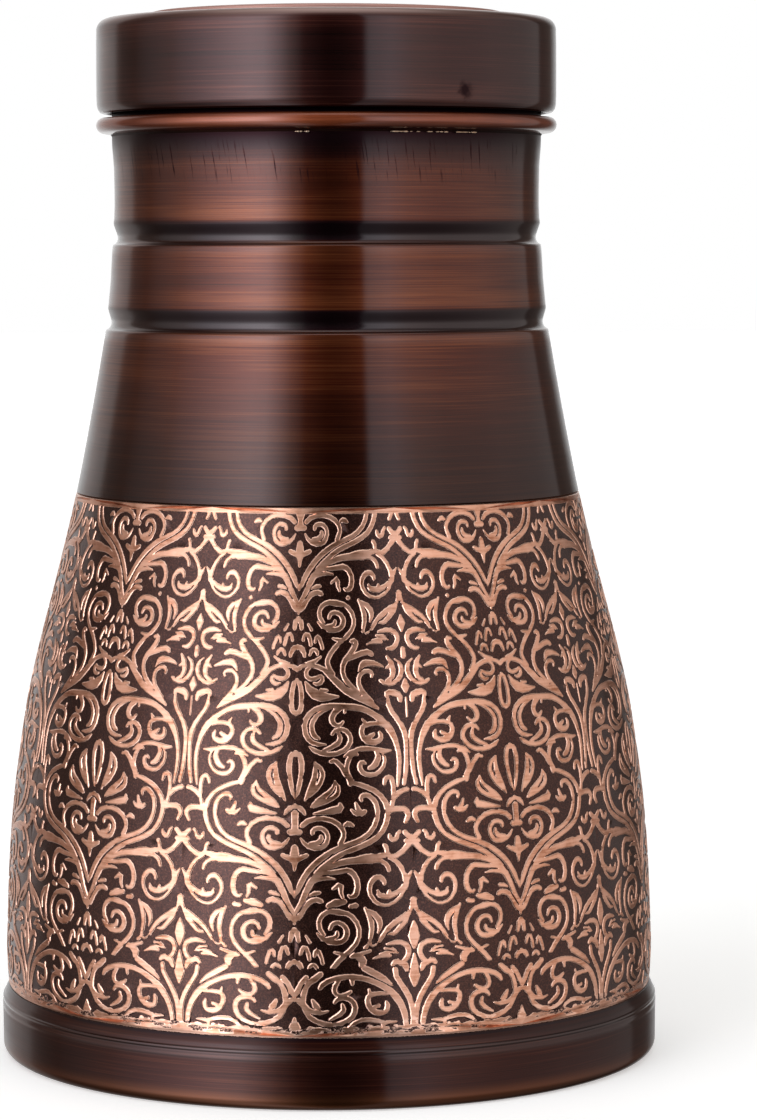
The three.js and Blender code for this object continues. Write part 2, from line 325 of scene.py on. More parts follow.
     [(15.4, 86.4, 0.4), (16.5, 86.65, 0.8), (17.8, 86.6, 0.9), (18.8, 86, 0.9), (19.05, 85, 0.8),
      (18.6, 84, 0.8), (17.8, 83.4, 0.8), (16.9, 83.4, 0.5)],
     [(13.1, 84.2, 0.2), (14.4, 84.7, 0.8), (15.9, 84.6, 0.6)],
     [(14.2, 84.9, 0.3), (15.6, 85.2, 0.6), (17.2, 85, 0.3)],
     [(15, 85.75, 0.4), (16.2, 85.7, 0.6), (17, 85.2, 0.3)],
    ],
    "outlined_leaf": [
     [(11.75, 92.2, 0.4), (12.4, 91.2, 0.9), (12.75, 90, 0.9), (12.85, 88.7, 0.75), (12.6, 87.4, 0.65),
      (12.4, 86.5, 0.6)],
     [(12.2, 91.9, 0.3), (13.2, 91.3, 0.9), (14, 90.4, 1), (14.25, 89.4, 0.8), (13.9, 88.2, 0.2)],
     [(12.4, 86.5, 0.5), (13.2, 86.2, 0.3), (13.9, 86.8, 0.3)],
     [(14.1, 86.9, 0.5), (15.3, 88.6, 0.8), (16.7, 89.75, 0.9), (18.2, 90.6, 1), (19.3, 91.4, 0.8)],
     [(15.6, 88, 0.3), (16.6, 88.1, 0.7), (17.6, 89, 0.8), (18.7, 90.2, 0.9), (19.3, 91.3, 0.6)],
     [(19.4, 91.4, 0.5), (19.6, 92.2, 0.5), (20, 92.9, 1.3)],
    ],
    "column_b_buds": [
     [(20, 93.3, 1.3), (20, 92.6, 1.6), (20, 92.1, 0.8)],
     [(20, 89.3, 0.3), (20, 88.2, 1.5), (20, 87.6, 1.5), (20, 86.4, 0.3)],
     [(20, 83.4, 0.8), (20, 82.6, 1.4), (20, 81.8, 0.8)],
     [(20, 77.9, 0.4), (20, 76.9, 1.6), (20, 76.3, 1.3), (20, 75.6, 0.5)],
     [(20, 74.6, 0.3), (20, 71.2, 0.3)],
    ],
    "tulip": [
     [(16.4, 74.9, 0.7), (16.6, 75.5, 1), (17.6, 75.5, 1.2), (18.7, 75, 1.1), (18.9, 74, 0.7)],
     [(16.5, 74.8, 0.6), (16.6, 73.6, 0.8), (17.1, 72.3, 0.8), (18.1, 70.9, 0.85), (19, 69.4, 0.9),
      (19.5, 67.7, 0.9), (19.6, 65.8, 0.8), (19.5, 63.6, 0.75), (19.3, 61.4, 0.7), (19, 59.9, 0.7),
      (18.9, 59.1, 0.6)],
    ],
    "big_arch": [
     [(5.3, 66.45, 0.2), (4, 66.5, 0.7), (2.8, 66.9, 0.8), (1.9, 67.9, 0.85), (1.5, 69.3, 0.85),
      (1.65, 70.7, 0.9), (2.4, 71.9, 0.9), (3.7, 72.8, 0.95), (5.4, 73.25, 1), (7.3, 73.3, 1),
      (9.2, 73.15, 1.1), (11, 73, 1.1), (12.6, 72.5, 1), (14.1, 71.6, 1), (15.5, 70.5, 1.3),
      (16.6, 69.2, 1.3), (17.4, 67.7, 1), (17.9, 66, 0.8), (18.2, 64.2, 0.75), (18.15, 62.2, 0.7),
      (17.95, 60.4, 0.6), (17.75, 58.8, 0.3)],
     [(6.2, 73, 0.6), (4.6, 72.35, 0.6), (3.5, 71.4, 0.7), (2.85, 70.2, 0.8), (2.85, 69, 0.85),
      (3.3, 68, 0.9), (4.1, 67.5, 0.5)],
     [(7.9, 72.9, 0.8), (6.9, 72.2, 1), (6.4, 71.2, 1), (6.6, 70.3, 0.9), (7.3, 69.85, 0.7),
      (8, 70.05, 0.6), (8.4, 70.55, 0.4)],
     [(8.8, 72.8, 0.6), (8.7, 72.1, 0.4)],
     [(12.2, 70.3, 0.8), (11.8, 71, 0.15)],
     [(15.9, 69.7, 0.7), (14.4, 70.15, 0.7), (12.9, 70.05, 0.7), (11.9, 69.6, 0.8), (11.6, 68.6, 0.8),
      (12, 67.6, 1), (12.9, 66.95, 1.2), (14, 66.8, 1), (14.9, 67.3, 0.8), (15.05, 68.1, 0.7),
      (14.8, 68.6, 0.4)],
     [(12.5, 67.6, 0.8), (13.3, 67.9, 0.8), (13.8, 68.3, 0.5)],
     [(6.4, 68.3, 0.5), (7, 68.9, 0.8), (7.9, 69.15, 0.8), (8.8, 68.9, 0.8), (9.5, 68.1, 0.8),
      (9.65, 67.1, 0.8), (9.2, 66.1, 0.8), (8.3, 65.3, 0.8), (7, 64.8, 0.8), (5.5, 64.75, 0.85),
      (4, 65.1, 0.85), (3, 65.6, 0.7), (2.4, 66.1, 0.2)],
     [(7.5, 68.6, 0.6), (7.8, 67.6, 0.8), (7.5, 66.8, 0.9), (6.7, 66.2, 0.8), (5.7, 65.7, 0.7),
      (4.6, 65.35, 0.4)],
    ],
    "palmette": [
     [(0, 64.9, 1.2), (0.75, 64.4, 0.95), (1.1, 62.9, 0.9), (1.05, 61.2, 0.8), (0.75, 59.4, 0.75),
      (0.4, 57.9, 0.65), (0.1, 56.8, 0.3)],
     [(3.3, 63.3, 0.5), (3.5, 61.8, 0.8), (3.3, 60.2, 1), (2.7, 58.5, 1.1), (1.9, 56.9, 0.5),
      (1.7, 56.4, 0.2)],
     [(3.4, 63.2, 0.4), (4.3, 62.3, 0.75), (4.75, 61.1, 0.75), (4.4, 59.7, 0.75), (3.5, 58.4, 0.8),
      (2.3, 57.2, 0.6)],
     [(6.8, 59.9, 0.4), (6.5, 58.7, 0.6), (5.6, 57.7, 0.8), (4.3, 56.7, 1), (2.8, 55.4, 0.4)],
     [(6.9, 59.9, 0.3), (7.4, 58.8, 0.7), (7.2, 57.6, 0.8), (6.1, 56.7, 0.8), (4.6, 56.1, 0.9),
      (2.8, 55.2, 0.4)],
     [(7.7, 55.9, 0.5), (7.7, 55, 1.3), (6.6, 54.7, 1.3), (5.2, 54.45, 0.9), (3.2, 54.1, 0.3)],
     [(0, 55.5, 0.9), (0.8, 55.15, 0.85), (1.4, 54.6, 0.7), (1.75, 53.95, 0.3)],
    ],
    "mid_scroll": [
     [(6.1, 63.4, 0.6), (6.8, 63.6, 0.8), (7.6, 63, 0.8), (8.3, 62.1, 0.9), (8.8, 61.1, 0.9),
      (9.4, 60.2, 1), (9.55, 59.3, 0.8)],
     [(16.8, 65.25, 0.3), (15.7, 65.15, 0.8), (14.2, 65.45, 0.8), (12.5, 65.7, 0.8),
      (10.9, 65.5, 0.85), (9.8, 64.6, 0.9), (9.1, 63.4, 0.8), (8.85, 62.1, 0.8), (9.2, 60.9, 0.8),
      (9.8, 60, 0.8)],
     [(8.5, 64.25, 0.2), (9.4, 64.9, 0.8), (10.6, 65.3, 0.8)],
     [(10, 64.6, 0.6), (10.8, 64.65, 0.5)],
     [(14.2, 65.3, 0.8), (14.5, 64.3, 0.9), (14.2, 63.3, 1.1), (13.6, 62.5, 1), (12.8, 62.1, 0.6)],
     [(15.1, 65, 0.5), (15.6, 64, 0.5), (15.5, 62.8, 0.55), (14.9, 61.8, 0.6), (14, 61.1, 0.7),
      (12.8, 60.95, 0.8), (11.8, 61.3, 0.8), (11.25, 62.1, 0.8), (11.25, 62.9, 0.8), (11.7, 63.3, 0.7),
      (12.2, 63, 0.4)],
     [(10.4, 56, 0.4), (10.6, 55.2, 0.7), (11, 54.5, 0.9)],
     [(9.6, 54.8, 0.3), (10.3, 54.2, 0.8), (11.3, 54.1, 1), (12, 54.5, 0.7)],
    ],
}

# what only the lower row has
LOWER_STROKES = {
    "low_leaves": [
     [(5.6, 37.5, 0.9), (7, 38.1, 1.4), (8.4, 38.3, 0.9)],
     [(9.3, 37.4, 0.8), (10.3, 37.6, 0.9)],
     [(9.4, 28.3, 0.6), (10.3, 28.5, 1.2), (11.3, 27.4, 1.4), (11, 26.6, 0.7)],
     [(10.9, 28.7, 0.7), (12.6, 29.3, 0.5)],
     [(11.7, 29.8, 0.6), (12.6, 30.8, 0.6)],
     [(20, 34.4, 0.3), (20, 32.9, 1.5), (20, 31.4, 1.9), (20, 29.5, 0.4)],
    ],
}

# the cut-off motif just above the foot
FOOT_STROKES = {
    "foot_arch": [
     [(4.2, 22.5, 0.6), (4.7, 23.3, 0.9), (5.8, 24, 0.9), (7.5, 24.5, 0.9), (9.5, 24.6, 1),
      (11.5, 24.3, 0.9), (13.2, 23.6, 0.9), (14.8, 22.7, 1), (16.2, 21.5, 1.2), (17.3, 20.1, 1.1),
      (18.1, 18.3, 1), (18.5, 16.5, 0.9), (18.6, 14.5, 0.8)],
     [(4.4, 25.2, 0.9), (3.6, 24.4, 1.1), (2.6, 23.8, 1), (2, 23, 0.9), (1.6, 21.8, 0.9),
      (1.4, 19.9, 0.9), (2.2, 18.7, 0.9), (3.4, 18.2, 0.8), (4.6, 18.1, 0.7), (5.6, 18.4, 0.2)],
     [(2, 24.6, 0.8), (1.2, 23.5, 0.9), (0.6, 22.2, 0.9), (0, 21.2, 0.9)],
     [(0, 20.6, 0.9), (0.8, 20.2, 0.9), (1.4, 19.3, 0.8), (2, 18.2, 0.8), (2.6, 17.2, 0.9),
      (3.8, 16.4, 0.9), (5.4, 15.9, 0.9), (7, 15.9, 0.9), (8.4, 16.4, 0.9), (9.5, 17.3, 0.9),
      (10, 18.6, 0.9), (9.8, 19.8, 0.9), (9, 20.6, 0.9), (7.9, 20.8, 0.8), (7, 20.5, 0.7),
      (6.6, 19.9, 0.5)],
     [(7.9, 19.6, 0.5), (8.1, 18.6, 0.8), (7.6, 17.9, 0.8), (6.8, 17.3, 0.7), (5.8, 16.8, 0.4)],
     [(3, 20.4, 0.5), (3.6, 19.2, 1.1), (4.3, 18.5, 0.4)],
     [(0, 17.1, 0.3), (0, 16.2, 1.2), (0, 15, 2.2), (0, 14.7, 2.3)],
    ],
    "foot_curls": [
     [(7.4, 24.1, 0.6), (6.8, 23.2, 0.8), (6.6, 22.2, 0.8), (7, 21.4, 0.7), (7.9, 21.2, 0.7),
      (8.9, 21.6, 0.7), (9.3, 22, 0.5)],
     [(9.5, 24.2, 0.8), (9.6, 23.2, 0.5)],
     [(15.5, 21.4, 0.5), (14, 21.5, 0.7), (12.6, 21.3, 0.8), (12.1, 20.6, 0.8), (12.2, 19.5, 0.9),
      (12.9, 18.4, 1), (14, 17.9, 1), (15.1, 18.2, 0.8), (15.4, 19.2, 0.8), (15.2, 19.9, 0.5)],
     [(12.3, 22.3, 0.3), (12.5, 21.5, 0.7)],
     [(13, 18.9, 0.6), (13.9, 19.3, 0.8)],
     [(8.6, 14.6, 0.7), (9.8, 16, 0.8), (11.5, 16.7, 0.8), (13.5, 16.5, 0.8), (15, 16.1, 0.8),
      (16.9, 16.2, 0.3)],
     [(14.6, 16.3, 0.7), (14.9, 14.8, 0.7)],
     [(11.5, 26.2, 1), (13, 25.3, 1.1), (15, 24, 0.9), (16.2, 22.9, 0.3)],
    ],
    "foot_tulip": [
     [(16.7, 25.9, 0.8), (16.9, 24.5, 0.8), (17.6, 23.2, 0.8), (18.5, 21.7, 0.9), (19.3, 20, 0.9),
      (19.7, 18.3, 0.9), (19.75, 16.5, 0.8), (19.7, 14.6, 0.8)],
     [(16.3, 26.6, 0.7), (17, 27.2, 1), (18.3, 26.6, 1.1), (18.8, 25.5, 0.7)],
     [(20, 28.5, 0.3), (20, 26.2, 1.4), (20, 24.4, 1.8), (20, 22.6, 0.5)],
    ],
}

# the lower row is the upper motif again from z 84 up, squeezed: (height drawn, height in the lower row)
LOWER_MAP = [(84.0, 27.6), (98.0, 43.8), (105.0, 50.7), (114.0, 60.4)]
LOWER_ROW = ("heart", "crossing", "base_scrolls", "inward_scroll", "leaf_curl", "side_scroll",
             "pinecone", "outlined_leaf")
UPPER_WINDOW = (53.0, TOP_BORDER[0])
LOWER_WINDOW = (26.3, 61.0)
FOOT_WINDOW = (BOTTOM_BORDER, 29.5)
PAST_BELOW = 0.2         # how far a centre line may run past its window
PAST_ABOVE = 0.15


def lowered(z):
    """The height in the lower row of a point drawn in the upper one."""
    for (a, p), (b, q) in zip(LOWER_MAP, LOWER_MAP[1:]):
        if z <= b or b == LOWER_MAP[-1][0]:
            return p + (z - a) * (q - p) / (b - a)


def pattern_strokes():
    """Every stroke that shows in a half repeat, with the heights it is kept between."""
    kept = []
    for group in UPPER_STROKES.values():
        kept += [(stroke, UPPER_WINDOW) for stroke in group]
    low = [stroke for name in LOWER_ROW for stroke in UPPER_STROKES[name]]
    low += UPPER_STROKES["crescents"][-4:]
    low += [UPPER_STROKES["column_b_buds"][0], UPPER_STROKES["column_b_buds"][1]]
    low.append(UPPER_STROKES["stems"][0][:3])
    for stroke in low:
        kept.append(([(u, lowered(z), w) for u, z, w in stroke], LOWER_WINDOW))
    for group in LOWER_STROKES.values():
        kept += [(stroke, LOWER_WINDOW) for stroke in group]
    for group in FOOT_STROKES.values():
        kept += [(stroke, FOOT_WINDOW) for stroke in group]
    return kept


def inside_runs(stroke, window):
    """The smooth centre line of a stroke, cut into the stretches that lie inside its window."""
    runs = [[]]
    for point in spline(stroke, WALK_STEP):
        if window[0] - PAST_BELOW <= point[1] <= window[1] + PAST_ABOVE:
            runs[-1].append(point)
        elif runs[-1]:
            runs.append([])
    return [run for run in runs if len(run) > 2]


def thinned(fine):
    """The same line in long steps where it is straight and short ones in its curls."""
    kept = [fine[0]]
    turned_by = 0.0
    for before, here, after in zip(fine, fine[1:], fine[2:]):
        a = math.atan2(here[1] - before[1], here[0] - before[0])
        b = math.atan2(after[1] - here[1], after[0] - here[0])
        turned_by += abs((b - a + math.pi) % (2 * math.pi) - math.pi)
        length = math.hypot(here[0] - kept[-1][0], here[1] - kept[-1][1])
        if length > LONG_STEP or (length > SHORT_STEP and turned_by > math.radians(TURN_KEPT)):
            kept.append(here)
            turned_by = 0.0
    kept.append(fine[-1])
    return kept


def ribbon(line, grow):
    """Left and right edges of a stroke, half its width plus grow from the centre, and its two tips."""
    left, right, ends = [], [], []
    for i, (u, z, w) in enumerate(line):
        a, b = line[max(i - 1, 0)], line[min(i + 1, len(line) - 1)]
        du, dz = b[0] - a[0], b[1] - a[1]
        size = math.hypot(du, dz) or 1.0
        half = max(w / 2 + grow, 0.05)
        left.append((u - dz / size * half, z + du / size * half))
        right.append((u + dz / size * half, z - du / size * half))
        if i in (0, len(line) - 1):
            way = -1 if i == 0 else 1
            ends.append([(u + way * half * (du * c - s * dz * way) / size * TIP_SIZE,
                          z + way * half * (dz * c + s * du * way) / size * TIP_SIZE)
                         for c, s in TIP])
    return left, right, ends


class Tile:
    """Vertices, forced edges and core faces of the flat pattern, for the triangulation."""

    def __init__(self):
        self.points = []
        self.edges = []
        self.cores = []
        self.windows = []

    def add(self, point):
        self.points.append(Vector(point))
        return len(self.points) - 1

    def chain(self, points, loop=False):
        ids = [self.add(p) for p in points]
        self.edges += list(zip(ids, ids[1:]))
        if loop:
            self.edges.append((ids[-1], ids[0]))
        return ids

    def core(self, ids, window):
        for k in range(1, len(ids) - 1):
            tri = [ids[0], ids[k], ids[k + 1]]
            a, b, c = (self.points[i] for i in tri)
            area = (b - a).cross(c - a)
            if abs(area) > 1e-7:
                self.cores.append(tri if area > 0 else tri[::-1])
                self.windows.append(window)

    def stroke(self, stroke, window):
        for run in inside_runs(stroke, window):
            self.ribbon(thinned(run), window)

    def ribbon(self, line, window):
        left, right, ends = ribbon(line, -EDGE_IN)
        lids = [self.add(p) for p in left]
        rids = [self.add(p) for p in right]
        for k in range(len(line) - 1):
            self.core([lids[k], lids[k + 1], rids[k + 1], rids[k]], window)
        start = [self.add(p) for p in ends[0]]
        stop = [self.add(p) for p in ends[1]]
        self.core([lids[0], *start, rids[0]], window)
        self.core([lids[-1], *stop, rids[-1]], window)
        left, right, ends = ribbon(line, EDGE_OUT)
        self.chain(left + ends[1] + right[::-1] + ends[0][::-1], loop=True)


def half_tile(rng):
    """One half repeat of the flat pattern: its points, which of them are raised, and its triangles."""
    low, high = PATTERN
    tile = Tile()
    for stroke, window in pattern_strokes():
        tile.stroke(stroke, window)
        us = [p[0] for p in stroke]
        if min(us) < 2.0:
            tile.stroke([(-u, z, w) for u, z, w in stroke], window)
        if max(us) > HALF - 2.0:
            tile.stroke([(2 * HALF - u, z, w) for u, z, w in stroke], window)
    # borders: the top one runs true, the bottom one's upper edge wanders
    steps = [HALF * k / TILE_STEPS for k in range(TILE_STEPS + 1)]
    wander = [BOTTOM_BORDER + rng.uniform(-0.35, 0.3) for k in range(3 * TILE_STEPS + 1)]
    fine = [HALF * k / (3 * TILE_STEPS) for k in range(3 * TILE_STEPS + 1)]
    for lower_edge, upper_edge in (([(u, low + 0.5) for u in steps], list(zip(fine, wander))),
                                   ([(u, TOP_BORDER[0]) for u in steps],
                                    [(u, TOP_BORDER[1] - 0.15) for u in steps])):
        bottom_ids = [tile.add(p) for p in lower_edge]
        top_ids = [tile.add(p) for p in upper_edge]
        tile.core(bottom_ids + top_ids[::-1], (0.0, 200.0))
    tile.chain([(u, z + 0.2) for u, z in zip(fine, wander)])
    tile.chain([(u, TOP_BORDER[0] - 0.2) for u in steps])
    rim = [tile.add((u, low)) for u in steps] + [tile.add((u, high)) for u in reversed(steps)]
    tile.edges += list(zip(rim, rim[1:])) + [(rim[-1], rim[0])]
    for k in range(TILE_STEPS):
        for j in range(FILL_ROWS):
            tile.add((HALF * (k + 0.5) / TILE_STEPS, low + FILL_FIRST + FILL_STEP * j))
    points, _, faces, _, _, sources = delaunay_2d_cdt(
        tile.points, tile.edges, tile.cores, 0, 1e-5, True)
    triangles, raised = [], [False] * len(points)
    for face, source in zip(faces, sources):
        centre = sum((points[i] for i in face), Vector((0, 0))) / 3
        if not (0 < centre.x < HALF and low < centre.y < high):
            continue
        triangles.append(face)
        if any(tile.windows[s][0] < centre.y < tile.windows[s][1] for s in source):
            for i in face:
                raised[i] = True
    return points, raised, triangles


def etched_wall(materials):
    """The belly as one closed sheet: relief outside, plain inside, tucked into foot and neck."""
    rng = random.Random(41)
    flat, raised, triangles = half_tile(rng)
    low, high = PATTERN
    points, faces, placed, flags = [], [], {}, []
    rims = {low: [], high: []}
    kept = sorted({i for face in triangles for i in face})
    sunk = {i: 0.0 if raised[i] else ETCH_DEPTH + rng.uniform(-0.008, 0.008) for i in kept}

    def place(repeat, mirrored, i):
        u, z = flat[i]
        edge = 0 if abs(u) < ON_EDGE else 1 if abs(u - HALF) < ON_EDGE else None
        if edge == 0:
            key = (repeat, 0, i)
        elif edge == 1:
            key = ((repeat + (0 if mirrored else 1)) % REPEATS, 1, i)
        else:
            key = (repeat, mirrored, i, None)
        if key not in placed:
            placed[key] = len(points)
            angle = math.radians(FIRST_AXIS + 2 * HALF * repeat + (-u if mirrored else u))
            radius = along(WALL_SIDE, z) - sunk[i]
            points.append((radius * math.sin(angle), -radius * math.cos(angle), z))
            flags.append(1.0 if raised[i] else 0.0)
            for rim in rims:
                if abs(z - rim) < ON_EDGE:
                    rims[rim].append((angle % (2 * math.pi), placed[key]))
        return placed[key]

    for repeat in range(REPEATS):
        for mirrored in (False, True):
            for face in triangles:
                ids = [place(repeat, mirrored, i) for i in face]
                faces.append(ids[::-1] if mirrored else ids)
    outside = len(faces)
    ring = [i for _, i in sorted(rims[high])]
    angles = [a for a, _ in sorted(rims[high])]
    closing = [i for _, i in sorted(rims[low])]
    if len(ring) != len(closing):
        raise ValueError("the rims of the etched wall have different numbers of points")
    inside = [(along(WALL_SIDE, z) - SHEET, z) for z in
              [high - (high - low) * k / INSIDE_STEPS for k in range(INSIDE_STEPS + 1)]]
    round_again = [(inside[0][0] + 0.3, high + 0.1), *inside,
                   (WALL_TUCK - SHEET, low - 1.0), (WALL_TUCK - SHEET, WALL_BOTTOM),
                   (WALL_TUCK, WALL_BOTTOM), (WALL_TUCK, low - 0.05)]
    previous = ring
    for radius, z in round_again:
        current = []
        for a in angles:
            current.append(len(points))
            points.append((radius * math.sin(a), -radius * math.cos(a), z))
            flags.append(0.0)
        for k in range(len(ring)):
            n = (k + 1) % len(ring)
            faces.append([previous[k], current[k], current[n], previous[n]])
        previous = current
    for k in range(len(ring)):
        n = (k + 1) % len(ring)
        faces.append([previous[k], closing[k], closing[n], previous[n]])
    indices = [0] * outside + [1] * (len(faces) - outside)
    piece = finish_mesh("etched_belly", points, faces, materials, "jug", ["etched_wall"],
                        "etched_copper", indices, sharp=24)
    raised_layer = piece.data.attributes.new("raised", "FLOAT", "POINT")
    raised_layer.data.foreach_set("value", flags)
    return piece


# ---------------------------------------------------------------- materials


class Nodes:
    """A node tree with a few short names for the nodes that these looks need."""

    def __init__(self, tree):
        self.tree = tree

    def feed(self, socket, value):
        if isinstance(value, bpy.types.NodeSocket):
            self.tree.links.new(value, socket)
        elif value is not None:
            socket.default_value = value

    def node(self, kind, *inputs, **settings):
        made = self.tree.nodes.new(kind)
        for key, value in settings.items():
            setattr(made, key, value)
        for socket, value in zip(made.inputs, inputs):
            self.feed(socket, value)
        return made

    def math(self, operation, a, b=None, clamp=False):
        return self.node("ShaderNodeMath", a, b, operation=operation, use_clamp=clamp).outputs[0]

    def times(self, a, b):
        return self.math("MULTIPLY", a, b)

    def plus(self, a, b):
        return self.math("ADD", a, b)

    def minus(self, a, b):
        return self.math("SUBTRACT", a, b)

    def split(self, vector):
        return self.node("ShaderNodeSeparateXYZ", vector).outputs

    def vector(self, x, y, z):
        return self.node("ShaderNodeCombineXYZ", x, y, z).outputs[0]

    def range(self, value, low, high, to_low=0.0, to_high=1.0, smooth=False):
        made = self.node("ShaderNodeMapRange", value, low, high, to_low, to_high)
        if smooth:
            made.interpolation_type = "SMOOTHSTEP"
        return made.outputs["Result"]

    def ramp(self, factor, stops):
        made = self.node("ShaderNodeValToRGB", factor)
        elements = made.color_ramp.elements
        while len(elements) < len(stops):
            elements.new(1.0)
        for element, (at, colour) in zip(elements, stops):
            element.position = at
            grey = not isinstance(colour, tuple)
            element.color = (colour, colour, colour, 1) if grey else (*colour, 1)
        return made.outputs["Color"]

    def levels(self, height, stops):
        """A level by height, from (height in mm, level) stops."""
        low, high = stops[0][0], stops[-1][0]
        return self.ramp(self.range(height, low, high), [((at - low) / (high - low), level)
                                                         for at, level in stops])

    def mixed(self, factor, a, b, blend="MIX"):
        made = self.node("ShaderNodeMix", data_type="RGBA", blend_type=blend)
        for name, value in (("Factor_Float", factor), ("A_Color", a), ("B_Color", b)):
            socket = next(s for s in made.inputs if s.identifier == name)
            if isinstance(value, tuple):
                value = (*value, 1)
            self.feed(socket, value)
        return next(s for s in made.outputs if s.identifier == "Result_Color")


class Surface(Nodes):
    """A material in the object's own space, ending in one Principled shader."""

    def __init__(self, name):
        self.material = bpy.data.materials.new(name)
        self.material.use_nodes = True
        super().__init__(self.material.node_tree)
        self.shader = self.tree.nodes["Principled BSDF"]
        self.place = self.node("ShaderNodeTexCoord").outputs["Object"]

    def height(self):
        """Height on the jug in mm."""
        return self.times(self.split(self.place)[2], 1 / MM)

    def noise(self, vector, scale, detail=2.0, roughness=0.5):
        made = self.node("ShaderNodeTexNoise")
        self.feed(made.inputs["Vector"], vector)
        for name, value in (("Scale", scale), ("Detail", detail), ("Roughness", roughness)):
            made.inputs[name].default_value = value
        return made.outputs["Fac"]

    def brushed(self, along_per_m, across_per_m):
        """A place squeezed along the turning direction, so that noise on it makes turned streaks."""
        x, y, z = self.split(self.place)
        radius = self.math("SQRT", self.plus(self.times(x, x), self.times(y, y)))
        across = self.times(self.plus(z, radius), across_per_m)
        return self.vector(self.times(x, along_per_m), self.times(y, along_per_m), across)

    def bump(self, height, distance, strength=1.0, after=None):
        made = self.node("ShaderNodeBump")
        made.inputs["Strength"].default_value = strength
        made.inputs["Distance"].default_value = distance * MM
        self.feed(made.inputs["Height"], height)
        if after is not None:
            self.feed(made.inputs["Normal"], after)
        return made.outputs["Normal"]

    def set(self, **sockets):
        for name, value in sockets.items():
            self.feed(self.shader.inputs[name.replace("_", " ")], value)


# near-black of patina, scratches and the blotch, also used as painted shade under the ring and in the gap
# above the foot
AGE_AND_SHADE_BLACK = (0.014, 0.0048, 0.0066)


def near_height(s, height, at, half, core=0.0, wobble=None):
    """1 at a height, fading to 0 half mm away from it; core is the share of half that stays 1."""
    away = s.math("ABSOLUTE", s.minus(height, at))
    if wobble is not None:
        away = s.plus(away, wobble)
    return s.range(away, half, half * core, smooth=True)


def scratch_lines(s, height, low, high):
    """Thin upright scratches between two heights, leaning a little round the neck."""
    x, y, _ = s.split(s.place)
    angle = s.math("ARCTAN2", x, s.times(y, -1.0))
    lean = s.times(height, 0.0035)
    upright = s.vector(s.times(s.plus(angle, lean), 62.0), s.times(height, 0.07), 3.0)
    lines = s.range(s.noise(upright, 1.0, 3.0, 0.6), 0.58, 0.63)
    within = s.times(s.range(height, low, low + 3.0), s.range(height, high, high - 2.0))
    return s.times(s.times(lines, within), 0.95)


def dark_spot(s, centre, size):
    """A ragged dark spot about size mm across its radius, round a place in mm."""
    gap = s.node("ShaderNodeVectorMath", s.place, tuple(c * MM for c in centre),
                 operation="DISTANCE").outputs["Value"]
    ragged = s.times(s.minus(s.noise(s.place, 900), 0.5), size * MM)
    gap = s.plus(gap, ragged)
    return s.times(s.range(gap, size * MM, 0.2 * size * MM, smooth=True), 0.95)


def antique(name, dark, middle, light, patina_and_shade_bands=(), scratches=None, coat=0.75, body_rough=0.36,
            blotch=None, glow_bands=(), shade=(), gloss=(), wear_and_sheen=()):
    """Brushed copper darkened with age and with painted shade under clear lacquer, with marks given by
    height in mm.

    Dark bands are (height, half-width, core): patina, and painted shade under parts and in gaps;
    glow bands (height, half-width); sheen bands (height, half-width, colour) are painted highlights
    and painted reflections; scratches lie between two heights, a blotch is (place, size), and
    painted shade and gloss are (height, level) stops from the bottom up.
    """
    s = Surface(name)
    height = s.height()
    broad = s.noise(s.brushed(14, 130), 1.0, 3.0, 0.55)
    medium = s.noise(s.brushed(20, 2200), 1.0, 3.0, 0.6)
    fine = s.noise(s.brushed(34, 5600), 1.0, 2.0, 0.6)
    streaks = s.plus(s.times(medium, 0.4), s.times(fine, 0.6))
    tone = s.plus(s.times(streaks, 0.6), s.times(broad, 0.4))
    tone = s.range(tone, 0.29, 0.71)
    for at, half in glow_bands:
        away = s.math("DIVIDE", s.math("ABSOLUTE", s.minus(height, at)), half)
        near = s.math("SUBTRACT", 1.0, away, clamp=True)
        tone = s.plus(tone, s.times(near, 0.16))
    colour = s.ramp(tone, [(0.0, dark), (0.5, middle), (1.0, light)])
    # painted shade: the colour darkened by height from the shade stops
    if shade:
        colour = s.mixed(1.0, colour, s.levels(height, shade), "MULTIPLY")

    wobble = s.times(s.minus(medium, 0.5), 0.8)
    # dark bands: patina, and painted shade where a band lies under a part and in a gap
    black = [near_height(s, height, *band, wobble=wobble) for band in patina_and_shade_bands]
    dull = None
    if scratches:
        dull = scratch_lines(s, height, *scratches)
    if blotch:
        dull = dark_spot(s, *blotch)
    if dull is not None:
        black.append(dull)
    most = black[0]
    for mark in black[1:]:
        most = s.math("MAXIMUM", most, mark)
    colour = s.mixed(most, colour, AGE_AND_SHADE_BLACK)
    # sheen bands: a lighter colour painted as highlights and as reflections, fading out half mm away
    for at, half, tint in wear_and_sheen:
        painted_sheen = s.times(near_height(s, height, at, half), 0.85)
        colour = s.mixed(painted_sheen, colour, tint)

    # gloss stops set the lacquer by height; raising and lowering it paints highlights and shade
    if gloss:
        coat = s.times(s.levels(height, gloss), coat)
    if dull is not None:
        coat = s.times(s.minus(1.0, s.times(dull, 0.9)), coat)
    s.set(Base_Color=colour, Metallic=1.0, Coat_Weight=coat, Coat_Roughness=0.085, Coat_IOR=1.5)
    s.set(Roughness=s.range(broad, 0.3, 0.7, body_rough - 0.05, body_rough + 0.08))
    grain = s.bump(streaks, 0.012, 0.6)
    s.feed(s.shader.inputs["Normal"], grain)
    soft = s.bump(s.noise(s.brushed(20, 260), 1.0, 2.0), 0.02, 0.3)
    s.feed(s.shader.inputs["Coat Normal"], s.bump(medium, 0.004, 0.5, after=soft))
    return s.material


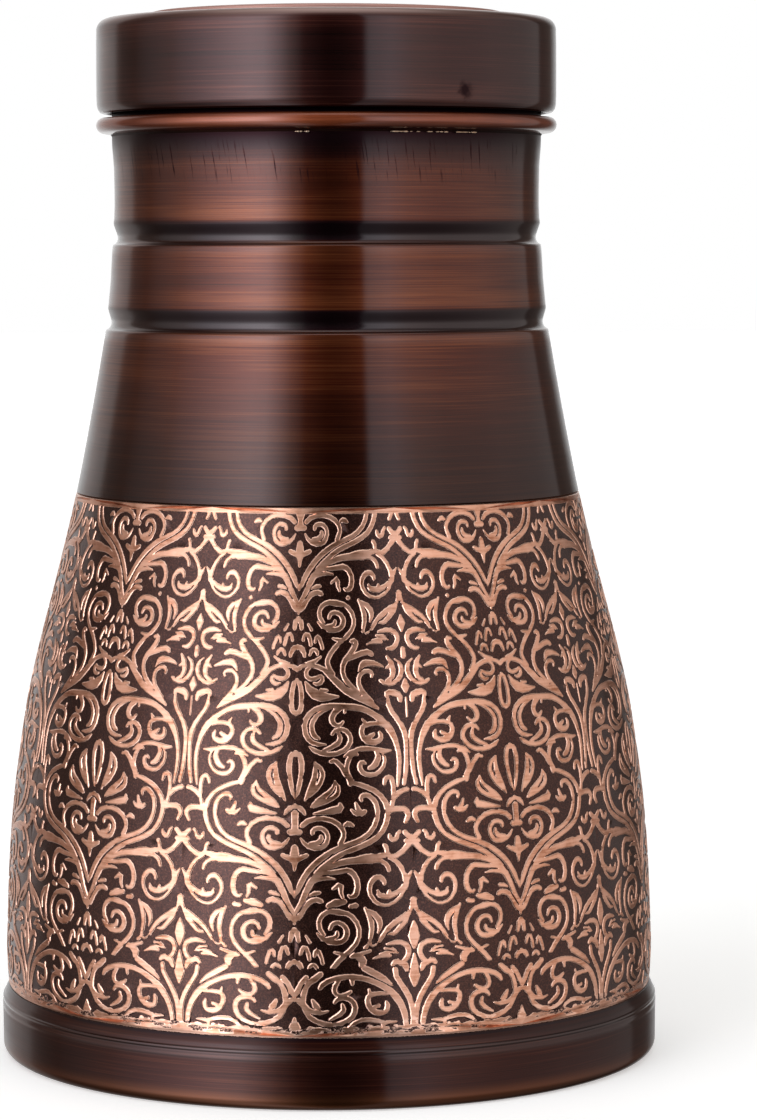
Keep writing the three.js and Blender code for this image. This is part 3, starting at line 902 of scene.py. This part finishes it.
def etched_copper():
    """Bright copper with wear on the raised pattern, lighter at the strokes' bitten edges, dark bitten and
    pitted ground between.
    """
    s = Surface("etched_copper")
    raised = s.node("ShaderNodeAttribute", attribute_name="raised").outputs["Fac"]
    ragged = s.noise(s.place, 2600.0, 3.0, 0.6)
    height = s.height()
    near_foot = s.times(s.range(height, 17.5, 15.4), s.range(height, 13.7, 14.1))
    spots = s.range(s.noise(s.brushed(290, 900), 1.0, 2.0), 0.50, 0.44)
    flecks = s.times(near_foot, spots)
    raised = s.minus(raised, s.times(flecks, 0.72))
    edge = s.plus(raised, s.times(s.minus(ragged, 0.5), 0.9))
    top = s.range(edge, 0.22, 0.46, smooth=True)
    fine = s.noise(s.brushed(90, 2600), 1.0, 3.0, 0.6)
    wear_and_sheen = s.noise(s.place, 240.0, 4.0, 0.65)
    pits = s.noise(s.place, 3800.0, 2.0, 0.7)
    bright = s.ramp(s.plus(s.times(fine, 0.45), s.times(wear_and_sheen, 0.55)),
                    [(0.35, (0.38, 0.155, 0.08)), (0.49, (0.71, 0.39, 0.26)), (0.65, (0.86, 0.52, 0.375))])
    ground = s.ramp(pits, [(0.3, (0.013, 0.005, 0.004)), (0.55, (0.052, 0.017, 0.011)),
                           (0.75, (0.14, 0.06, 0.038))])
    # lighter copper on the bitten edges of the strokes: partly wear from burnishing, partly a painted
    # glint for the edge highlights
    burnish_and_glint = s.range(raised, 1.0, 0.72, smooth=True)
    bright = s.mixed(burnish_and_glint, bright, (0.93, 0.60, 0.45))
    s.set(Base_Color=s.mixed(top, ground, bright), Metallic=1.0, Coat_Roughness=0.2, Coat_IOR=1.5)
    s.set(Coat_Weight=s.range(top, 0, 1, 0.5, 0.18))
    s.set(Roughness=s.range(wear_and_sheen, 0.3, 0.7, 0.27, 0.36))
    pitted = s.times(s.times(pits, s.minus(1.0, top)), 0.35)
    relief = s.plus(pitted, s.times(fine, s.range(top, 0, 1, 0.9, 0.25)))
    normal = s.bump(relief, 0.07, 0.8)
    s.feed(s.shader.inputs["Normal"], normal)
    s.feed(s.shader.inputs["Coat Normal"], s.bump(relief, 0.05, 0.5))
    return s.material


def plain_copper(name, dark, light, rough, coat=0.0, brushed=True):
    """Unpatinated copper: the inside, the ring and the disc."""
    s = Surface(name)
    fine = s.noise(s.brushed(60, 2600) if brushed else s.place, 1.0 if brushed else 700.0, 3.0, 0.6)
    broad = s.noise(s.place, 60.0, 4.0, 0.55)
    tone = s.plus(s.times(fine, 0.5), s.times(broad, 0.5))
    s.set(Base_Color=s.ramp(tone, [(0.3, dark), (0.7, light)]), Metallic=1.0, Coat_Weight=coat,
          Coat_Roughness=0.12, Roughness=s.range(broad, 0.3, 0.7, rough - 0.06, rough + 0.08))
    s.feed(s.shader.inputs["Normal"], s.bump(fine, 0.012, 0.5))
    return s.material


# ---------------------------------------------------------------- the pieces


def foot_outline():
    """The foot ring: a turned lip outside, a step that hides the wall's edge, and a round hem."""
    side = sides_of(FOOT_SIDE, 0.13)
    hem = [(57.6, 2.4), (57.5, 1.2), (57.9, 0.4), (58.7, 0.0)]
    hem += arc(61.88, 2.02, 2.0, -90, -6, 9)
    top = [(62.66, FOOT_TOP), (61.9, FOOT_TOP - 0.1), (61.6, FOOT_TOP - 0.5)]
    inner = [(62.5, 12.3), (62.72, 10.0), (62.7, 2.6), (62.2, 1.25), (58.8, 1.25), (58.5, 2.4)]
    return hem + side + top + inner


def groove(lip_low, lip_high, depth):
    """A pressed groove: a long slope down from the upper lip and a tight trough by the lower one."""
    (low_z, low_r), (high_z, high_r) = lip_low, lip_high
    points = []
    for k in range(1, 22):
        t = (k / 22) ** 1.3
        z = low_z + (high_z - low_z) * t
        base = low_r + (high_r - low_r) * t
        points.append((base - depth * math.sin(math.pi * t ** 0.56) ** 1.3, z))
    return points


def neck_outline():
    outside = sides_of(SHOULDER_SIDE, 2.4)
    outside += [(42.93, 139.9), (42.78, 140.25)]
    outside += groove((140.3, 42.76), (144.6, 42.42), 0.86)
    outside += [(42.36, 144.85), (42.3, 145.4)]
    outside += [(41.86, 150.0), (41.56, 155.4), (41.47, 156.2), (41.38, 156.55)]
    outside += groove((156.6, 41.36), (160.9, 41.26), 0.88)
    outside += [(41.19, 161.1), (41.12, 161.6)]
    outside += [(41.02, 164.0), (41.02, 167.0), (41.10, 171.5), (41.25, 173.6), (41.38, 175.2),
                (41.42, 176.6), (41.42, 181.9), (41.3, 182.05)]
    inside = [(r - SHEET, z) for r, z in reversed(outside[2:-2])]
    return [(48.5, 108.9), *outside, (40.7, 182.05), *inside, (47.0, 108.95), (47.0, 103.4),
            (47.5, 103.4), (47.62, 108.7)]


def ring_outline():
    return ([(41.5, 177.7)] + arc(42.95, RING_HEIGHT - 0.12, 1.5, -75, 64, 14)
            + [(41.5, 180.95)])


def lid_outline():
    side = [(42.6, 181.72), (43.2, 181.78), (43.72, 182.0), (44.12, 182.6), (44.3, 183.4),
            (44.36, 185.0), (44.37, 190.0), (44.35, 195.0), (44.30, 197.0)]
    side += arc(42.05, 197.6, 2.25, 4, 86, 12)
    side += [(38.0, 199.9), (0.0, 199.95)]
    under = [(0.0, 199.05), (41.9, 198.95), (42.9, 198.4), (43.4, 197.4), (43.45, 184.0),
             (43.3, 182.9), (42.75, 182.5), (42.4, 182.15)]
    return side + under


def disc_outline():
    return [(0.0, 199.97), (33.95, 199.97), (34.15, 200.05), (34.22, 200.4), (34.2, 200.7),
            (34.02, 200.93), (33.5, 201.05), (28.0, 201.12), (12.0, 201.25), (0.0, 201.3)]


def plate_outline():
    return [(0.0, 3.3), (30.0, 2.95), (52.0, 2.2), (60.4, 1.85), (61.1, 1.8), (61.1, 2.6),
            (60.3, 2.75), (52.0, 3.0), (30.0, 3.5), (0.0, 3.8)]


def collar_outline():
    outside = [(39.0, 164.2), (39.3, 164.7), (39.4, 165.4), (39.4, 197.0), (39.8, 198.0), (41.5, 198.4)]
    inside = [(41.5, 198.85), (39.2, 198.8), (38.6, 197.9), (38.5, 165.4), (38.6, 164.5)]
    return outside + inside


def braze_outline():
    return [(41.37, 177.2), (41.45, 177.4), (41.65, 177.75), (41.65, 178.0), (41.45, 177.95)]


def braze_beads():
    """Small spills of braze under the ring, mostly at the front."""
    rng = random.Random(7)
    points, faces = [], []
    for centre, reach in SPILLS:
        for k in range(BEADS):
            along_spill = reach * ((k + 0.5) / BEADS - 0.5) * 2
            angle = math.radians(centre + along_spill + rng.uniform(-0.4, 0.4))
            size = rng.uniform(0.07, 0.2)
            long = rng.uniform(1.5, 6.5)
            out = Vector((math.sin(angle), -math.cos(angle), 0.0))
            middle = out * BEAD_RADIUS + Vector((0.0, 0.0, BEAD_HEIGHT))
            side = Vector((math.cos(angle), math.sin(angle), 0.0))
            start = len(points)
            for i in range(1, BEAD_RINGS + 1):
                for j in range(BEAD_SIDES):
                    a, b = math.pi * i / (BEAD_RINGS + 1), 2 * math.pi * j / BEAD_SIDES
                    spot = (middle + side * (math.cos(a) * size * long)
                            + out * (math.sin(a) * math.cos(b) * size)
                            + Vector((0, 0, math.sin(a) * math.sin(b) * size)))
                    points.append(tuple(spot))
            tips = [len(points), len(points) + 1]
            points.append(tuple(middle + side * size * long))
            points.append(tuple(middle - side * size * long))
            last = start + (BEAD_RINGS - 1) * BEAD_SIDES
            for j in range(BEAD_SIDES):
                n = (j + 1) % BEAD_SIDES
                for a in range(start, last, BEAD_SIDES):
                    b = a + BEAD_SIDES
                    faces.append((a + j, a + n, b + n, b + j))
                faces.append((tips[0], start + n, start + j))
                faces.append((tips[1], last + j, last + n))
    return points, faces


BRONZE = ((0.021, 0.0048, 0.0022), (0.076, 0.0135, 0.0044), (0.21, 0.062, 0.019))
neck_metal = antique("neck_copper", *BRONZE, coat=0.98,
                     # dark bands: patina in the two grooves; the band by the ring is partly patina and
                     # partly painted shade under the ring
                     patina_and_shade_bands=[(LOWER_GROOVE + 0.25, 2.5, 0.6), (UPPER_GROOVE + 0.25, 2.4, 0.6),
                                  (179.0, 9.5, 0.3)],
                     # painted shade: darker towards the bottom of the shoulder and a little darker under
                     # the ring
                     shade=[(108.0, 0.24), (118.0, 0.38), (132.0, 0.85), (140.0, 1.0), (165.0, 1.0),
                            (181.0, 0.8)],
                     # gloss stops: stronger lacquer in the grooves and at their lips paints highlights
                     # there, weaker lacquer under the ring paints shade
                     gloss=[(108.0, 0.68), (122.0, 0.7), (138.0, 0.62), (139.2, 1.0), (142.0, 1.0),
                            (142.6, 0.5), (144.6, 0.45), (145.2, 0.75), (154.6, 0.75), (155.6, 1.0),
                            (158.2, 1.0), (158.8, 0.45), (161.0, 0.4), (161.6, 0.72), (171.5, 0.72),
                            (174.5, 0.45), (177.0, 0.06)],
                     glow_bands=[(155.0, 2.5), (146.5, 2.5), (162.6, 3.0), (138.6, 2.0)],
                     scratches=(167.5, 176.5))
lid_metal = antique("lid_copper", (0.011, 0.0027, 0.0027), (0.036, 0.0075, 0.0060),
                    (0.12, 0.036, 0.023), blotch=((25.6, -36.2, 184.9), 2.2),
                    # painted highlight: lighter copper on the rounded top edge of the lid
                    wear_and_sheen=[(200.3, 2.3, (0.55, 0.36, 0.31))])
foot_metal = antique("foot_copper", (0.012, 0.0030, 0.0024), (0.034, 0.0085, 0.0057),
                     # the dark band at 13.4 mm is a painted shadow in the gap where the foot meets the
                     # etched wall
                     (0.10, 0.031, 0.016), patina_and_shade_bands=[(13.4, 0.8, 0.4)], coat=1.0,
                     # gloss stops: stronger lacquer on the bead paints its highlights
                     gloss=[(0.0, 0.34), (8.8, 0.3), (9.3, 0.7), (10.4, 0.8), (10.6, 1.0), (11.0, 1.0),
                            (11.2, 0.6), (13.2, 0.4)],
                     # painted reflection of the floor: lighter copper towards the bottom of the foot
                     wear_and_sheen=[(0.6, 3.6, (0.15, 0.052, 0.020))])
ring_metal = plain_copper("ring_copper", (0.14, 0.028, 0.009), (0.37, 0.098, 0.038), 0.5, coat=1.0)
raw_metal = plain_copper("raw_copper", (0.62, 0.30, 0.19), (0.92, 0.60, 0.45), 0.36)
disc_metal = plain_copper("disc_copper", (0.42, 0.24, 0.20), (0.70, 0.46, 0.40), 0.6)
# the braze seam under the ring is near-black: partly patina, partly painted shade under the ring
seam_metal = plain_copper("braze_dark", (0.003, 0.002, 0.003), (0.03, 0.012, 0.008), 0.5)
braze_metal = plain_copper("braze", (0.55, 0.41, 0.27), (0.85, 0.70, 0.52), 0.35, brushed=False)

turned("foot", foot_outline(), foot_metal, "jug", ["foot_ring"], "foot_copper")
turned("base_plate", plate_outline(), raw_metal, "jug", ["bottom_plate"], "raw_copper")
etched_wall([etched_copper(), raw_metal])
turned("neck", neck_outline(), neck_metal, "jug", ["neck_shell"], "neck_copper", sharp=50)
turned("mouth_ring", ring_outline(), ring_metal, "jug", ["rim_ring"], "ring_copper")
turned("braze_seam", braze_outline(), seam_metal, "jug", ["rim_braze"], "braze")
finish_mesh("braze_spills", *braze_beads(), [braze_metal], "jug", ["rim_braze"], "braze")
turned("lid", lid_outline(), lid_metal, "lid", ["lid_cap"], "lid_copper")
turned("lid_button_disc", disc_outline(), disc_metal, "lid", ["lid_disc"], "disc_copper")
turned("collar", collar_outline(), raw_metal, "lid", ["lid_collar"], "raw_copper")


# ---------------------------------------------------------------- floor, light and camera


FLOOR_REACH = 6000.0


def floor():
    """A wide pale floor that a glossy surface doesn't see."""
    mesh = bpy.data.meshes.new("floor")
    far = FLOOR_REACH * MM
    mesh.from_pydata([(-far, -far, 0), (far, -far, 0), (far, far, 0), (-far, far, 0)], [],
                     [(0, 1, 2, 3)])
    s = Surface("floor_white")
    s.set(Base_Color=(0.91, 0.95, 0.93, 1), Roughness=0.9, Emission_Color=(1, 1, 1, 1),
          Emission_Strength=0.43)
    mesh.materials.append(s.material)
    piece = bpy.data.objects.new("floor", mesh)
    bpy.context.scene.collection.objects.link(piece)
    piece.visible_glossy = False


# light by compass angle round the jug as the camera sees it: (degrees, brightness, tint), left is minus
PLAIN = (1.0, 1.0, 1.0)
COOL = (0.97, 0.94, 1.0)
WARM = (1.0, 0.66, 0.54)
ROSY = (1.0, 0.88, 0.85)
STUDIO = [(-180, 1.0, PLAIN), (-158, 0.8, PLAIN), (-146, 0.68, ROSY), (-131, 0.64, ROSY),
          (-126, 0.22, WARM), (-122, 0.14, WARM), (-110, 0.22, WARM), (-98, 0.5, ROSY),
          (-82, 0.9, ROSY), (-69, 1.6, COOL), (-56, 2.6, COOL), (-44, 3.75, COOL), (-38, 4.2, COOL),
          (-31, 4.1, COOL), (-25, 2.65, COOL), (-18, 0.9, PLAIN), (-11, 0.1, PLAIN), (0, 0.02, PLAIN),
          (18, 0.06, PLAIN), (20.5, 1.4, COOL), (32, 1.68, COOL), (44, 1.3, ROSY), (60, 1.0, ROSY),
          (90, 0.88, ROSY), (116, 0.5, ROSY), (131, 0.42, ROSY), (134, 0.08, WARM), (150, 0.1, WARM),
          (163, 0.65, PLAIN), (180, 1.0, PLAIN)]
OVERHEAD = 1.1
BELOW = 0.3              # how much of the side light is left well below the horizon
ABOVE = 0.42             # and above the tops of the soft boxes
BELOW_FADE = (-0.6, -0.2)        # where those changes lie, as the sine of the angle up
ABOVE_FADE = (0.40, 0.68)
OVERHEAD_FADE = (0.80, 0.96)


def studio():
    """A world of soft boxes: a bright one front left, a weaker one right, black straight ahead."""
    world = bpy.data.worlds.new("studio")
    bpy.context.scene.world = world
    world.use_nodes = True
    world.node_tree.nodes.clear()
    w = Nodes(world.node_tree)
    x, y, z = w.split(w.node("ShaderNodeTexCoord").outputs["Generated"])
    turn = w.math("ARCTAN2", x, w.times(y, -1.0))
    part_round = w.plus(w.math("DIVIDE", turn, 2 * math.pi), 0.5)
    brightest = max(bright for _, bright, _ in STUDIO)
    boxes = w.ramp(part_round, [(degrees / 360 + 0.5, tuple(bright / brightest * part for part in tint))
                                for degrees, bright, tint in STUDIO])
    level = w.times(w.range(z, *BELOW_FADE, BELOW, 1.0, smooth=True),
                    w.range(z, *ABOVE_FADE, brightest, ABOVE * brightest, smooth=True))
    sides = w.node("ShaderNodeVectorMath", boxes, operation="SCALE")
    w.feed(sides.inputs["Scale"], level)
    overhead = w.range(z, *OVERHEAD_FADE, smooth=True)
    colour = w.mixed(overhead, sides.outputs[0], (OVERHEAD, OVERHEAD, OVERHEAD))
    light = w.node("ShaderNodeBackground", colour)
    white = w.node("ShaderNodeBackground", (1, 1, 1, 1))
    seen = w.node("ShaderNodeLightPath").outputs["Is Camera Ray"]
    choose = w.node("ShaderNodeMixShader", seen, light.outputs[0], white.outputs[0])
    w.node("ShaderNodeOutputWorld", choose.outputs[0])
    bpy.context.scene.view_settings.view_transform = "Standard"


# where the photograph was taken from
CAMERA_AWAY = 777.7
CAMERA_HEIGHT = 157.6
CAMERA_DOWN = 4.587
CAMERA_RIGHT = 0.725
CAMERA_ROLL = 0.14
FRAME_HEIGHT = 1120
FOCAL_PIXELS = 4000.0
SENSOR = 36.0


def camera():
    """The photograph's long lens, a little above the jug's middle and tilted down."""
    data = bpy.data.cameras.new("camera")
    data.sensor_width = SENSOR
    data.lens = FOCAL_PIXELS / FRAME_HEIGHT * SENSOR
    data.clip_start = 0.05
    data.clip_end = 50.0
    seen_from = bpy.data.objects.new("camera", data)
    turn = Matrix.Rotation(math.radians(-CAMERA_RIGHT), 4, "Z")
    tilt = Matrix.Rotation(math.radians(90 - CAMERA_DOWN), 4, "X")
    roll = Matrix.Rotation(math.radians(-CAMERA_ROLL), 4, "Z")
    seen_from.matrix_world = (Matrix.Translation((0, -CAMERA_AWAY * MM, CAMERA_HEIGHT * MM))
                              @ turn @ tilt @ roll)
    bpy.context.scene.collection.objects.link(seen_from)
    bpy.context.scene.camera = seen_from


floor()
studio()
camera()
